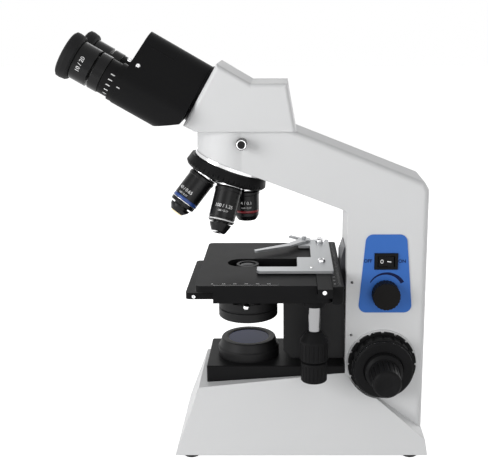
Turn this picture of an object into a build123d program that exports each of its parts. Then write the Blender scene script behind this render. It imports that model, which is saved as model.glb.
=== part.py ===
from build123d import *
from math import atan2, cos, degrees, hypot, pi, radians, sin, tan
import os

# Binocular compound microscope with an inclined twin-tube head, a five-place nosepiece,
# a two-layer mechanical stage and coaxial focusing.
# Millimetres. Z is up, the user sits at -Y, and the user's right hand is at +X.
# The origin is on the bench, under the optical axis.

# General fits
running = 0.05          # radial clearance of a shaft in its bore
gap = 0.3               # gap between pieces that move past each other
seat = 0.02             # gap between pieces that are screwed together
gear_module = 0.75

# Foot and base casting
foot_height = 4.0
foot_radius = 8.0
base_half_width = 67.0          # at the bottom edge
base_draft = 0.3                # how much the sides lean in per millimetre of height, at the front
base_front = -66.5
base_front_top = -45.0
base_rear = 166.0
base_front_height = 63.5
base_top_height = 73.0          # where the top meets the column
base_rear_height = 16.5
base_wall = 5.0
plate_thickness = 2.0
foot_inset = 10.5

# Arm casting
arm_half_width = 38.4           # at bench level
arm_taper = 1.55                # degrees
column_front = 92.0
column_rear = 166.0
arm_top = 300.0                 # face that carries the head
arm_nose_centre = -12.5         # the rounded front is drawn about this point
arm_shoulder = 46.0             # where the flat top ends
arm_rear_corner = 251.0
arm_wall = 9.0

# Optical axis and head seat
head_spigot_radius = 20.0
head_spigot_depth = 14.0
light_path_radius = 11.0

# Nosepiece
nose_tilt = 21.0                # degrees
nose_circle = 22.0              # radius through the objective seats
nose_seat_depth = 14.0          # of the seats below the mounting plane
shoulder_height = 245.0         # height of the working objective's shoulder
nose_base_radius = 33.5
nose_base_thickness = 3.0
nose_ring_radius = 38.6
nose_pin_radius = 6.0
nose_places = 5
objective_thread = 10.0
nose_wall = 5.0
knurl_count = 48

# Head
head_angle = 30.0               # inclination of the eyepieces
head_half_width = 35.0
head_face = 199.4               # distance of the sloping front along the eyepiece direction
head_face_low = 237.6
head_face_high = 299.3
head_roof = 342.0
head_rear = 46.0
hinge_height = 272.0            # of the interpupillary hinge, square to the eyepieces
hinge_radius = 20.5
tube_radius = 18.2
tube_offset = 27.0              # of each eyepiece from the middle at rest
tube_height = 242.0
wing_back = 202.0
wing_front = 264.0
wing_swing_in = 4.5             # degrees kept free between the wings

# Eyepieces
eyepiece_bore = 11.6
collar_length = 5.0
collar_radius = 17.7
sleeve_length = 9.6
sleeve_radius = 16.2
ring_length = 9.3
ring_radius = 16.9
groove = 1.8
barrel_length = 16.2
barrel_radius = 17.2
cup_length = 10.8
cup_radius = 21.1
lens_radius = 9.5

# Objectives: overall lengths below the shoulder
objective_radius = 12.4
length_4 = 31.0
length_10 = 37.5
length_40 = 44.4
length_100 = 44.9
tip_stroke = 1.6

# Focus mechanism
focus_y = 126.2
focus_z = 83.2
coarse_teeth = 16
focus_up = 28.0
focus_down = 1.0
fine_shaft_radius = 2.5
focus_tube_radius = 5.0
boss_radius = 33.0
boss_face = 37.2                # how far out the arm's bosses stand
tension_thickness = 2.4
tension_radius = 31.8
coarse_radius = 29.0
coarse_front_radius = 27.4
coarse_width = 14.8
fine_disc_radius = 17.4
fine_disc_width = 8.2
fine_tip_radius = 12.9
fine_tip_width = 24.7

# Stage guide and bracket
rail_half_width = 20.0
rail_thickness = 4.5
rail_low = 83.0
rail_high = 191.0
bracket_half_width = 26.0
bracket_front = 34.0
bracket_low = 84.0
window_half_width = 8.5

# Stage
lower_bottom = 152.0
lower_thickness = 6.0
lower_half_width = 53.0
lower_front = -54.0
lower_rear = 75.0
upper_top = 171.0
upper_bottom = 155.0
upper_half_width = 73.5
upper_front = -43.0
stage_slot_half = 13.0
stage_slot_front = -19.0
stage_slot_rear = 61.5
bar_front = 64.0
bar_rear = 77.0
bar_height = 8.0
bar_left = -74.0
bar_right = 87.0
x_rail_rear = 87.0
x_rail_right = 80.0
stage_corner = 5.0

# Stage drives
drive_x = 60.0
drive_y = 62.0
y_teeth = 16
x_teeth = 12
sleeve_low = 124.5
drive_sleeve_radius = 5.4
y_knob_low = 97.4
y_knob_radius = 12.9
x_knob_low = 77.0
x_knob_radius = 11.95

# Slide holder
holder_thickness = 2.6
holder_left = -73.0
holder_right = 40.0
holder_front = 47.0
holder_rear = 80.0
finger_x = -66.0
finger_y = 55.0

# Condenser
condenser_bottom = 119.5
condenser_radius = 28.3
condenser_step = 129.0
condenser_top = 141.0
condenser_sleeve = 18.95
condenser_tip = 170.0
condenser_tip_radius = 12.0
carrier_low = 106.0
carrier_plate_front = 36.0
carrier_half_width = 12.0
condenser_teeth = 14
condenser_knob_y = 49.0
condenser_knob_z = 121.0
condenser_knob_radius = 11.0

# Illuminator
lamp_half_width = 36.3
lamp_front = -38.3
lamp_top = 80.2
lamp_wall = 4.0
lens_ring_radius = 29.5
lens_ring_top_radius = 26.0
lens_ring_top = 97.0
field_radius = 19.5

# Control panel, on the right side of the arm
panel_y = 128.0
panel_z = 170.0
switch_z = 12.0                 # above the panel's centre
dimmer_z = -18.4
switch_width = 21.6
switch_height = 15.4
dimmer_radius = 12.7

# Directions and frames that several pieces share
nose_rad = radians(nose_tilt)
head_rad = radians(head_angle)
nose_y = nose_seat_depth * sin(nose_rad) - nose_circle * cos(nose_rad)
nose_z = shoulder_height + nose_seat_depth * cos(nose_rad) + nose_circle * sin(nose_rad)
NOSE = Plane(
    origin=(0, nose_y, nose_z),
    x_dir=(0, cos(nose_rad), -sin(nose_rad)),
    z_dir=(0, -sin(nose_rad), -cos(nose_rad)),
)
EYE = Plane(origin=(0, 0, 0), x_dir=(1, 0, 0), z_dir=(0, -cos(head_rad), sin(head_rad)))
taper_slope = tan(radians(arm_taper))


def arm_side(height):
    """Half width of the arm at a height."""
    return arm_half_width - taper_slope * height


def save(builder, name):
    """Name a finished piece and write it."""
    builder.part.label = name
    export_step(builder.part, f"parts/{name}.step")


def eye_plane(distance, x=0.0, height=0.0):
    """A plane square to the eyepieces, at a distance along them."""
    return EYE.offset(distance).shift_origin(EYE.offset(distance).from_local_coords((x, height, 0)))


def along_x(x, y, z):
    """A plane that faces +X."""
    return Plane(origin=(x, y, z), x_dir=(0, 1, 0), z_dir=(1, 0, 0))


def gear_outline(teeth, phase=0.0):
    """Straight-flanked gear outline about the sketch's origin; a tooth gap lies at phase degrees."""
    pitch_radius = gear_module * teeth / 2
    outer = pitch_radius + 0.8 * gear_module
    root = pitch_radius - 1.05 * gear_module
    pitch = 2 * pi / teeth
    points = []
    for tooth in range(teeth):
        middle = radians(phase) + pitch * (tooth + 0.5)
        for radius, share in ((root, -0.36), (outer, -0.11), (outer, 0.11), (root, 0.36)):
            angle = middle + share * pitch
            points.append((radius * cos(angle), radius * sin(angle)))
    return points


def rack_outline(start, end, anchor, pitch_line, back):
    """Rack outline: runs along the first axis, a tooth stands at anchor and points to +second axis."""
    pitch = pi * gear_module
    tip = pitch_line + 0.8 * gear_module
    root = pitch_line - 1.05 * gear_module
    first = anchor + pitch * round((start - anchor) / pitch + 0.5)
    points = [(start, back), (start, root)]
    centre = first
    while centre + pitch / 2 < end:
        points += [(centre - 0.36 * pitch, root), (centre - 0.11 * pitch, tip)]
        points += [(centre + 0.11 * pitch, tip), (centre + 0.36 * pitch, root)]
        centre += pitch
    points += [(end, root), (end, back)]
    return points


os.makedirs("parts", exist_ok=True)

# Base casting: a shell with sides that lean in towards the column, open below
seam = [(column_front, base_top_height), (column_rear, base_rear_height)]


def base_form(inset):
    """The base's outer form, or the form of its hollow when inset is the wall thickness."""
    low = foot_height - inset
    with BuildPart() as form:
        with BuildSketch(Plane.YZ) as profile:
            with BuildLine():
                Polyline(
                    (base_front, low),
                    (base_front_top, base_front_height),
                    seam[0],
                    seam[1],
                    (base_rear + 1.5, low),
                    close=True,
                )
            make_face()
            if inset:
                offset(amount=-inset, kind=Kind.INTERSECTION, mode=Mode.REPLACE)
        extrude(amount=base_half_width + 5, both=True)
        if not inset:
            fillet(form.edges().filter_by(Axis.X).group_by(Axis.Z)[-1], 6)
        rise = base_top_height - foot_height
        top_front = base_half_width - base_draft * rise - inset
        top_rear = arm_side(base_top_height) - 7.0 - inset
        half = base_half_width - inset
        with BuildSketch(Plane.XY.offset(low), mode=Mode.PRIVATE) as bottom:
            with BuildLine():
                Polyline(
                    (-half, base_front - 1), (half, base_front - 1),
                    (half, base_rear + 2), (-half, base_rear + 2), close=True,
                )
            make_face()
        with BuildSketch(Plane.XY.offset(base_top_height + 1), mode=Mode.PRIVATE) as roof:
            with BuildLine():
                Polyline(
                    (-top_front, base_front - 1), (top_front, base_front - 1),
                    (top_rear, base_rear + 2), (-top_rear, base_rear + 2), close=True,
                )
            make_face()
        walls = loft([bottom.sketch, roof.sketch], ruled=True, mode=Mode.PRIVATE)
        add(walls, mode=Mode.INTERSECT)
    return form.part


outer_form = base_form(0)
hollow_form = base_form(base_wall)

with BuildPart() as base_casting:
    add(outer_form)
    add(hollow_form, mode=Mode.SUBTRACT)
    # Relief round the focus knobs
    for side in (-1, 1):
        with BuildSketch(along_x(side * (boss_face - 0.5), focus_y, focus_z)):
            Circle(boss_radius)
        extrude(amount=side * 20, mode=Mode.SUBTRACT)
    # Way through to the hollow column
    with BuildSketch(Plane.XY.offset(base_rear_height + 2)):
        with Locations((0, (column_front + column_rear) / 2 + 1)):
            Rectangle(2 * 24, column_rear - column_front - 2 * arm_wall - 6)
    extrude(amount=base_top_height, mode=Mode.SUBTRACT)
    # Seat of the bottom plate
    with BuildSketch(Plane.XY.offset(foot_height)):
        with Locations((0, (base_front + base_rear) / 2)):
            Rectangle(2 * (base_half_width - base_wall), base_rear - base_front - 2 * base_wall)
    extrude(amount=plate_thickness, mode=Mode.SUBTRACT)
    # Hole under the field lens for the light
    with BuildSketch(Plane.XY.offset(base_front_height - base_wall - 2)):
        Circle(15)
    extrude(amount=20, mode=Mode.SUBTRACT)
save(base_casting, "base_casting")

foot_x = base_half_width - foot_inset
foot_rows = (base_front + 14.5, base_rear - 14.0)
with BuildPart() as bottom_plate:
    with BuildSketch(Plane.XY.offset(foot_height)):
        with Locations((0, (base_front + base_rear) / 2)):
            RectangleRounded(
                2 * (base_half_width - base_wall - gap),
                base_rear - base_front - 2 * (base_wall + gap),
                3,
            )
        with GridLocations(40, 60, 3, 2):
            SlotOverall(24, 4, mode=Mode.SUBTRACT)
    extrude(amount=plate_thickness - 0.1)
save(bottom_plate, "bottom_plate")

with BuildPart() as rubber_feet:
    for x in (-foot_x, foot_x):
        for y in foot_rows:
            with BuildSketch(Plane.XY):
                with Locations((x, y)):
                    Circle(foot_radius)
            extrude(amount=foot_height - seat)
    chamfer(rubber_feet.edges().group_by(Axis.Z)[0], 0.8)
save(rubber_feet, "rubber_feet")

# Arm casting: hollow column, sloping beam and rounded front housing
under_slope = tan(nose_rad)
mount_drop = nose_base_thickness / cos(nose_rad)


def mount_plane_z(y):
    """Height of the nosepiece's mounting plane where it is screwed to the arm."""
    return nose_z + mount_drop - (y - nose_y) * under_slope


with BuildPart() as arm_casting:
    with BuildSketch(Plane.XY):
        with Locations((0, arm_nose_centre)):
            Circle(arm_half_width + 1.4)
        with Locations((0, (arm_nose_centre + column_rear + 12) / 2)):
            Rectangle(2 * arm_half_width, column_rear + 12 - arm_nose_centre)
    extrude(amount=arm_top + 10, taper=arm_taper)
    with BuildSketch(Plane.YZ) as arm_profile:
        with BuildLine():
            Polyline(
                (column_front, base_top_height + seat),
                (column_front, mount_plane_z(column_front)),
                (-70, mount_plane_z(-70)),
                (-70, arm_top),
                (arm_shoulder, arm_top),
                (column_rear - 4, arm_rear_corner + 3),
                (column_rear, arm_rear_corner - 4),
                (column_rear, base_rear_height + seat),
                close=True,
            )
        make_face()
    extrude(amount=60, both=True, mode=Mode.INTERSECT)
    fillet(arm_casting.edges().filter_by(Axis.X).filter_by(
        lambda e: e.center().Y > column_rear - 6 and e.center().Z > 200), 5)
    fillet(arm_casting.edges().filter_by(Axis.X).filter_by(
        lambda e: abs(e.center().Y - column_front) < 1 and e.center().Z > 150), 5)
    rear_edges = arm_casting.edges().filter_by(
        lambda e: e.center().Y > column_rear - 1 and abs(e.center().X) > 20 and e.length > 100)
    fillet(rear_edges, 6)
    # Bosses for the focus shaft
    for side in (-1, 1):
        with BuildSketch(along_x(side * 30, focus_y, focus_z)):
            Circle(boss_radius)
        extrude(amount=side * (boss_face - 30))
    with BuildSketch(Plane.YZ):
        with BuildLine():
            Polyline(
                (column_front, -10),
                (column_front, base_top_height + seat),
                (column_rear, base_rear_height + seat),
                (column_rear, -10),
                close=True,
            )
        make_face()
    extrude(amount=60, both=True, mode=Mode.SUBTRACT)
    # Hollow of the column
    with BuildSketch(Plane.XY.offset(5)):
        with Locations((0, (column_front + column_rear) / 2 + 1)):
            Rectangle(2 * 25, column_rear - column_front - 2 * arm_wall)
    extrude(amount=215, mode=Mode.SUBTRACT)
    # Window for the focus rack
    with BuildSketch(Plane.XZ.offset(-column_front - arm_wall - 3)):
        with Locations((0, 108)):
            Rectangle(2 * window_half_width, 60)
    extrude(amount=arm_wall + 8, mode=Mode.SUBTRACT)
    # Seat of the head and the light path down through the nosepiece
    with BuildSketch(Plane.XY.offset(arm_top + 1)):
        Circle(head_spigot_radius + running)
    extrude(amount=-head_spigot_depth - 1.5, mode=Mode.SUBTRACT)
    with BuildSketch(Plane.XY.offset(arm_top)):
        Circle(light_path_radius)
    extrude(amount=-70, mode=Mode.SUBTRACT)
    # Bore for the focus shaft's bushes
    with BuildSketch(along_x(-60, focus_y, focus_z)):
        Circle(11)
    extrude(amount=120, mode=Mode.SUBTRACT)
    # Lock screw hole
    with BuildSketch(along_x(15, -2.2, 290)):
        Circle(2.5 + running)
    extrude(amount=25, mode=Mode.SUBTRACT)
    # Openings for the switch and the dimmer
    with BuildSketch(along_x(20, panel_y, panel_z)):
        with Locations((0, switch_z)):
            Rectangle(19, 13)
        with Locations((0, dimmer_z)):
            Circle(3.6)
    extrude(amount=25, mode=Mode.SUBTRACT)
    # Power inlet opening in the rear wall
    with BuildSketch(Plane.XZ.offset(-column_rear - 1)):
        with Locations((0, 52)):
            Rectangle(27, 20)
    extrude(amount=15, mode=Mode.SUBTRACT)
    # Set screw holes that hold the guide
    with BuildSketch(along_x(20, column_front + 5.2, 0)):
        with Locations((0, 110.7), (0, 161.6)):
            Circle(1.3)
    extrude(amount=30, mode=Mode.SUBTRACT)
save(arm_casting, "arm_casting")

# Dovetail guide on the front of the column
with BuildPart() as guide_rail:
    with BuildSketch(Plane.XY.offset(rail_low)):
        with BuildLine():
            Polyline(
                (-rail_half_width + 2.6, column_front - seat), (rail_half_width - 2.6, column_front - seat),
                (rail_half_width, column_front - rail_thickness),
                (-rail_half_width, column_front - rail_thickness), close=True,
            )
        make_face()
    extrude(amount=rail_high - rail_low)
    with BuildSketch(Plane.YZ):
        with BuildLine():
            Polyline(
                (column_front - rail_thickness - 1, rail_high - 14), (column_front - 0.8, rail_high + 1),
                (column_front - rail_thickness - 1, rail_high + 1), close=True,
            )
        make_face()
    extrude(amount=rail_half_width + 5, both=True, mode=Mode.SUBTRACT)
    with BuildSketch(Plane.XZ.offset(-column_front - 2)):
        with Locations((0, 108)):
            Rectangle(2 * window_half_width, 62)
    extrude(amount=rail_thickness + 6, mode=Mode.SUBTRACT)
save(guide_rail, "guide_rail")

# Nosepiece: fixed disc with its pivot pin
with BuildPart() as nosepiece_base:
    with BuildSketch(NOSE.offset(-nose_base_thickness + seat)):
        Circle(nose_base_radius)
    extrude(amount=nose_base_thickness - seat)
    with BuildSketch(NOSE):
        Circle(nose_pin_radius)
    extrude(amount=12)
    with BuildSketch(Plane.XY.offset(shoulder_height)):
        Circle(light_path_radius)
    extrude(amount=50, mode=Mode.SUBTRACT)
save(nosepiece_base, "nosepiece_base")


def seat_plane(place):
    """Plane of an objective's shoulder, facing down the objective; place 0 is the working one."""
    turn = 2 * pi * place / nose_places
    origin = NOSE.from_local_coords(
        (nose_circle * cos(turn), nose_circle * sin(turn), nose_seat_depth))
    ahead = NOSE.from_local_coords((
        sin(nose_rad) * cos(turn), sin(nose_rad) * sin(turn), cos(nose_rad))) - NOSE.origin
    return Plane(origin=origin, z_dir=ahead)


# Turret: a conical dish with a knurled rim, five seats and a bored hub
def dish_depth(radius):
    """Depth of the dish's outer cone, square to every objective."""
    return nose_seat_depth - (radius - nose_circle) * tan(nose_rad)


turret_start = 0.6
with BuildPart() as turret:
    with BuildSketch(Plane(origin=NOSE.origin, x_dir=NOSE.x_dir, z_dir=-NOSE.y_dir)) as section:
        with BuildLine():
            Polyline(
                (nose_pin_radius + running, turret_start),
                (9.5, turret_start),
                (9.5, dish_depth(9.5) - nose_wall),
                (31.0, dish_depth(31.0) - nose_wall),
                (32.0, turret_start),
                (nose_ring_radius - 2.4, turret_start),
                (nose_ring_radius, 8.3),
                (nose_ring_radius - 1.6, 10.6),
                (nose_ring_radius - 3.0, 11.4),
                (nose_ring_radius - 4.0, 11.4),
                (34.0, dish_depth(34.0)),
                (9.0, dish_depth(9.0)),
                (7.5, dish_depth(9.0) + 1.2),
                (0, dish_depth(9.0) + 1.2),
                (0, 13),
                (nose_pin_radius + running, 13),
                close=True,
            )
        make_face()
    revolve(axis=Axis(NOSE.origin, NOSE.z_dir))
    for place in range(nose_places):
        with BuildSketch(seat_plane(place).offset(1)):
            Circle(objective_thread + 0.15)
        extrude(amount=-nose_wall - 3, mode=Mode.SUBTRACT)
    # Knurled rim
    with BuildSketch(NOSE.offset(1.6)):
        with PolarLocations(nose_ring_radius + 0.35, knurl_count):
            RegularPolygon(1.5, 4)
    extrude(amount=9.4, mode=Mode.SUBTRACT)
save(turret, "turret")


def objective(place, length, radius, tip_radius, cone, spigot=4.0, tip_bore=0.0):
    """A turned objective: thread, shoulder, body and cone, seated at a nosepiece place."""
    plane = seat_plane(place)
    with BuildPart() as body:
        with BuildSketch(Plane(origin=plane.origin, x_dir=plane.x_dir, z_dir=-plane.y_dir)):
            with BuildLine():
                Polyline(
                    (0, -spigot), (objective_thread, -spigot), (objective_thread, seat),
                    (radius - 0.6, seat), (radius - 0.6, 2.6), (radius - 1.1, 3.2),
                    (radius, 4.0), (radius, 6.6),
                    (radius - 0.5, 7.2), (radius - 0.5, length - cone - 3.2),
                    (radius - 0.9, length - cone - 2.8), (radius - 0.9, length - cone),
                    (tip_radius + 1.0, length - 1.2), (tip_radius, length), (0, length), close=True,
                )
            make_face()
        revolve(axis=Axis(plane.origin, plane.z_dir))
        if tip_bore:
            with BuildSketch(plane.offset(length - cone + 1)):
                Circle(tip_bore + 40)
            extrude(amount=cone + 2, mode=Mode.SUBTRACT)
            with BuildSketch(plane.offset(length - cone + 1)):
                Circle(tip_bore)
            extrude(amount=-8, mode=Mode.SUBTRACT)
        else:
            # Front lens recess
            with BuildSketch(plane.offset(length)):
                Circle(tip_radius - 1.4)
            extrude(amount=-0.8, mode=Mode.SUBTRACT)
    return body


def sprung_tip(place, length, tip_radius, cone, stem):
    """The sprung front cone of a high-power objective, with its stem in the body."""
    plane = seat_plane(place)
    start = length - cone + 1 + tip_stroke
    with BuildPart() as nose:
        with BuildSketch(Plane(origin=plane.origin, x_dir=plane.x_dir, z_dir=-plane.y_dir)):
            with BuildLine():
                Polyline(
                    (0, start - tip_stroke - 5), (stem, start - tip_stroke - 5), (stem, start),
                    (objective_radius - 2.4, start), (objective_radius - 3.4, start + 2.6),
                    (tip_radius + 1.4, length - 1.4),
                    (tip_radius, length), (tip_radius - 1.5, length), (tip_radius - 2.2, length - 0.7),
                    (0, length - 0.7), close=True,
                )
            make_face()
        revolve(axis=Axis(plane.origin, plane.z_dir))
    return nose


cone_40 = 10.0
cone_100 = 11.0
stem_radius = 7.0
save(objective(0, length_4, objective_radius - 0.4, 8.4, 4.5), "objective_4")
save(objective(4, length_10, objective_radius - 0.2, 5.5, 7.0), "objective_10")
save(objective(2, length_40, objective_radius + 0.3, 5.0, cone_40, tip_bore=stem_radius + running), "objective_40")
save(objective(1, length_100, objective_radius, 5.0, cone_100, tip_bore=stem_radius + running), "objective_100")
save(sprung_tip(2, length_40, 5.0, cone_40, stem_radius), "objective_40_tip")
save(sprung_tip(1, length_100, 5.4, cone_100, stem_radius), "objective_100_tip")

plug_plane = seat_plane(3)
with BuildPart() as dust_plug:
    with BuildSketch(plug_plane.offset(-4)):
        Circle(objective_thread - 0.1)
    extrude(amount=4 + seat)
    with BuildSketch(plug_plane.offset(seat)):
        Circle(objective_thread + 1.6)
    extrude(amount=3.2)
    fillet(dust_plug.edges().sort_by(Axis(plug_plane.origin, plug_plane.z_dir))[-1], 1)
save(dust_plug, "dust_plug")

# Head casting: turns on a spigot in the arm
head_face_foot = EYE.from_local_coords((0, head_face_low, head_face))
head_face_brow = EYE.from_local_coords((0, head_face_high, head_face))
brow_run = (head_face_brow.Z - head_roof) / tan(head_rad)
with BuildPart() as head_casting:
    with BuildSketch(Plane.YZ):
        with BuildLine():
            Polyline(
                (arm_nose_centre - 31.5, arm_top + gap),
                (head_face_foot.Y, head_face_foot.Z),
                (head_face_brow.Y, head_face_brow.Z),
                (head_face_brow.Y + brow_run, head_roof),
                (head_rear - 7.5, head_roof),
                (head_rear, arm_top + gap),
                close=True,
            )
        make_face()
    extrude(amount=head_half_width, both=True)
    fillet(head_casting.edges().filter_by(lambda e: abs(e.center().X) > head_half_width - 1
           and e.center().Z > arm_top + 2), 4)
    with BuildSketch(Plane.XY.offset(arm_top + gap)):
        Circle(head_spigot_radius)
    extrude(amount=-head_spigot_depth - gap)
    with BuildSketch(Plane.XY.offset(arm_top - head_spigot_depth)):
        Circle(light_path_radius)
    extrude(amount=28, mode=Mode.SUBTRACT)
save(head_casting, "head_casting")

with BuildPart() as hinge_flange:
    with BuildSketch(eye_plane(head_face + seat, 0, hinge_height - 6)):
        Circle(27.5)
    extrude(amount=wing_back - head_face - gap - seat)
    with BuildSketch(eye_plane(wing_back - gap, 0, hinge_height)):
        Circle(6)
    extrude(amount=wing_front - wing_back + gap)
save(hinge_flange, "hinge_flange")

# Wings: prism housings that swing about the hinge and carry the eyepiece tubes
wing_middle = (wing_back + wing_front) / 2
trim = tan(radians(wing_swing_in))
for side, sign in (("right", 1), ("left", -1)):
    with BuildPart() as wing:
        with BuildSketch(eye_plane(wing_back)):
            with BuildSketch(mode=Mode.PRIVATE) as ends:
                with Locations((0, hinge_height)):
                    Circle(hinge_radius)
                with Locations((sign * tube_offset, tube_height)):
                    Circle(tube_radius)
            make_hull(ends.sketch.edges())
        extrude(amount=wing_front - wing_back)
        # Lower rear corner
        with BuildSketch(Plane.YZ):
            low = tube_height - tube_radius
            a = EYE.from_local_coords((0, low - 0.5, wing_back + 21.5))
            b = EYE.from_local_coords((0, low + 16.0, wing_back - 0.5))
            c = EYE.from_local_coords((0, low - 20.0, wing_back - 20.0))
            with BuildLine():
                Polyline((a.Y, a.Z), (b.Y, b.Z), (c.Y, c.Z), close=True)
            make_face()
        extrude(amount=80, both=True, mode=Mode.SUBTRACT)
        # Keep to its own side below the hinge, so that the two wings can close
        with BuildSketch(eye_plane(wing_back - 1)):
            with BuildLine():
                Polyline(
                    (sign * 0.2, hinge_height),
                    (sign * (0.2 + 80 * trim), hinge_height - 80),
                    (sign * -60, hinge_height - 80),
                    (sign * -60, hinge_height + 60),
                    (sign * 0.2, hinge_height + 60),
                    close=True,
                )
            make_face()
        extrude(amount=wing_front - wing_back + 2, mode=Mode.SUBTRACT)
        # Hub of this wing, and room for the other wing's hub
        own_low = wing_back if sign > 0 else wing_middle + gap / 2
        other_low = wing_middle + gap / 2 - 0.01 if sign > 0 else wing_back - 1
        half_length = wing_middle - gap / 2 - wing_back
        with BuildSketch(eye_plane(other_low, 0, hinge_height)):
            Circle(hinge_radius + gap)
        extrude(amount=half_length + 2, mode=Mode.SUBTRACT)
        with BuildSketch(eye_plane(own_low, 0, hinge_height)):
            Circle(hinge_radius)
        extrude(amount=half_length)
        with BuildSketch(eye_plane(wing_back - 2, 0, hinge_height)):
            Circle(6 + running)
        extrude(amount=wing_front - wing_back + 4, mode=Mode.SUBTRACT)
        # Eyepiece tube: collar, graduated sleeve and the spigot of the dioptre ring
        x = sign * tube_offset
        with BuildSketch(eye_plane(wing_front, x, tube_height)):
            Circle(collar_radius)
        extrude(amount=collar_length)
        with BuildSketch(eye_plane(wing_front + collar_length, x, tube_height)):
            Circle(sleeve_radius)
        extrude(amount=sleeve_length)
        with BuildSketch(eye_plane(wing_front + collar_length + sleeve_length, x, tube_height)):
            Circle(sleeve_radius - 2.2)
        extrude(amount=ring_length + gap)
        with BuildSketch(eye_plane(wing_front - 20, x, tube_height)):
            Circle(eyepiece_bore + running)
        extrude(amount=80, mode=Mode.SUBTRACT)
    save(wing, f"wing_{side}")

    ring_start = wing_front + collar_length + sleeve_length + gap
    with BuildPart() as dioptre_ring:
        with BuildSketch(eye_plane(ring_start, x, tube_height)):
            Circle(ring_radius)
            Circle(sleeve_radius - 2.2 + running, mode=Mode.SUBTRACT)
        extrude(amount=ring_length)
        fillet(dioptre_ring.edges().filter_by(GeomType.CIRCLE).filter_by(
            lambda e: e.radius > ring_radius - 0.1), 0.6)
    save(dioptre_ring, f"dioptre_ring_{side}")

    barrel_start = ring_start + ring_length + groove
    with BuildPart() as eyepiece:
        with BuildSketch(eye_plane(wing_front - 10, x, tube_height)):
            Circle(eyepiece_bore)
        extrude(amount=barrel_start - wing_front + 10)
        with BuildSketch(eye_plane(barrel_start, x, tube_height)):
            Circle(barrel_radius)
        extrude(amount=barrel_length)
        chamfer(eyepiece.edges().filter_by(GeomType.CIRCLE).filter_by(
            lambda e: e.radius > barrel_radius - 0.1), 0.5)
        with BuildSketch(eye_plane(barrel_start + barrel_length, x, tube_height)):
            Circle(barrel_radius - 1.6)
        extrude(amount=5.4)
        with BuildSketch(eye_plane(barrel_start + barrel_length - 1, x, tube_height)):
            Circle(lens_radius)
        extrude(amount=20, mode=Mode.SUBTRACT)
        with BuildSketch(eye_plane(wing_front - 11, x, tube_height)):
            Circle(eyepiece_bore - 1.5)
        extrude(amount=30, mode=Mode.SUBTRACT)
    save(eyepiece, f"eyepiece_{side}")

    cup_start = barrel_start + barrel_length + seat
    cup_plane = eye_plane(cup_start, x, tube_height)
    with BuildPart() as eyecup:
        with BuildSketch(Plane(origin=cup_plane.origin, x_dir=cup_plane.x_dir, z_dir=-cup_plane.y_dir)):
            with BuildLine():
                Polyline(
                    (barrel_radius - 1.6 + seat, 0), (cup_radius - 1.9, 0), (cup_radius - 0.7, 1.6),
                    (cup_radius, cup_length - 4.4), (cup_radius - 0.3, cup_length - 1.4),
                    (cup_radius - 2.0, cup_length), (cup_radius - 3.4, cup_length - 0.8),
                    (barrel_radius - 4.6, 6.6), (barrel_radius - 4.6, 5.45), (barrel_radius - 1.6 + seat, 5.45),
                    close=True,
                )
            make_face()
        revolve(axis=Axis(cup_plane.origin, cup_plane.z_dir))
    save(eyecup, f"eyecup_{side}")

    lens_plane = eye_plane(barrel_start + barrel_length, x, tube_height)
    dome = 30.0
    with BuildPart() as eye_lens:
        with BuildSketch(lens_plane):
            Circle(lens_radius - 0.05)
        extrude(amount=5)
        with Locations(lens_plane.offset(4.1 - dome)):
            Sphere(dome, mode=Mode.INTERSECT)
    save(eye_lens, f"eye_lens_{side}")

# Head lock screw
with BuildPart() as lock_screw:
    with BuildSketch(along_x(head_spigot_radius + 0.4, -2.2, 290)):
        Circle(2.5)
    extrude(amount=14)
    with BuildSketch(along_x(arm_side(290) + 1.0, -2.2, 290)):
        Circle(4.8)
        with PolarLocations(4.9, 16):
            Rectangle(0.8, 0.5, mode=Mode.SUBTRACT)
    extrude(amount=11)
save(lock_screw, "lock_screw")

# Illuminator: black housing on the base, with the lens ring, filter and lamp
lamp_rear = column_front - seat
with BuildPart() as illuminator_housing:
    with BuildSketch(Plane.YZ):
        run = (base_top_height - base_front_height) / (column_front - base_front_top)
        with BuildLine():
            Polyline(
                (lamp_front, base_front_height + (lamp_front - base_front_top) * run + seat),
                (lamp_front, lamp_top),
                (lamp_rear, lamp_top),
                (lamp_rear, base_top_height + seat),
                close=True,
            )
        make_face()
    extrude(amount=lamp_half_width, both=True)
    fillet(illuminator_housing.edges().filter_by(Axis.Z).group_by(Axis.Y)[0], 2)
    chamfer(illuminator_housing.edges().group_by(Axis.Z)[-1], 0.8)
    with BuildSketch(Plane.XY.offset(base_front_height - 1)):
        Circle(17)
    extrude(amount=40, mode=Mode.SUBTRACT)
save(illuminator_housing, "illuminator_housing")

with BuildPart() as field_lens_ring:
    with BuildSketch(Plane.XZ):
        with BuildLine():
            Polyline(
                (17.5, lamp_top + seat), (lens_ring_radius, lamp_top + seat),
                (lens_ring_radius, lamp_top + 7.6), (lens_ring_radius - 1.2, lamp_top + 9.2),
                (lens_ring_top_radius, lens_ring_top - 0.6), (lens_ring_top_radius - 0.8, lens_ring_top),
                (lens_ring_top_radius - 4.6, lens_ring_top), (field_radius + 0.05, lens_ring_top - 0.6),
                (field_radius + 0.05, lens_ring_top - 3.6), (17.5, lens_ring_top - 3.6), close=True,
            )
        make_face()
    revolve(axis=Axis.Z)
save(field_lens_ring, "field_lens_ring")

with BuildPart() as field_filter:
    with BuildSketch(Plane.XY.offset(lens_ring_top - 3.6 + seat)):
        Circle(field_radius)
    extrude(amount=2.6)
save(field_filter, "field_filter")

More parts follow.
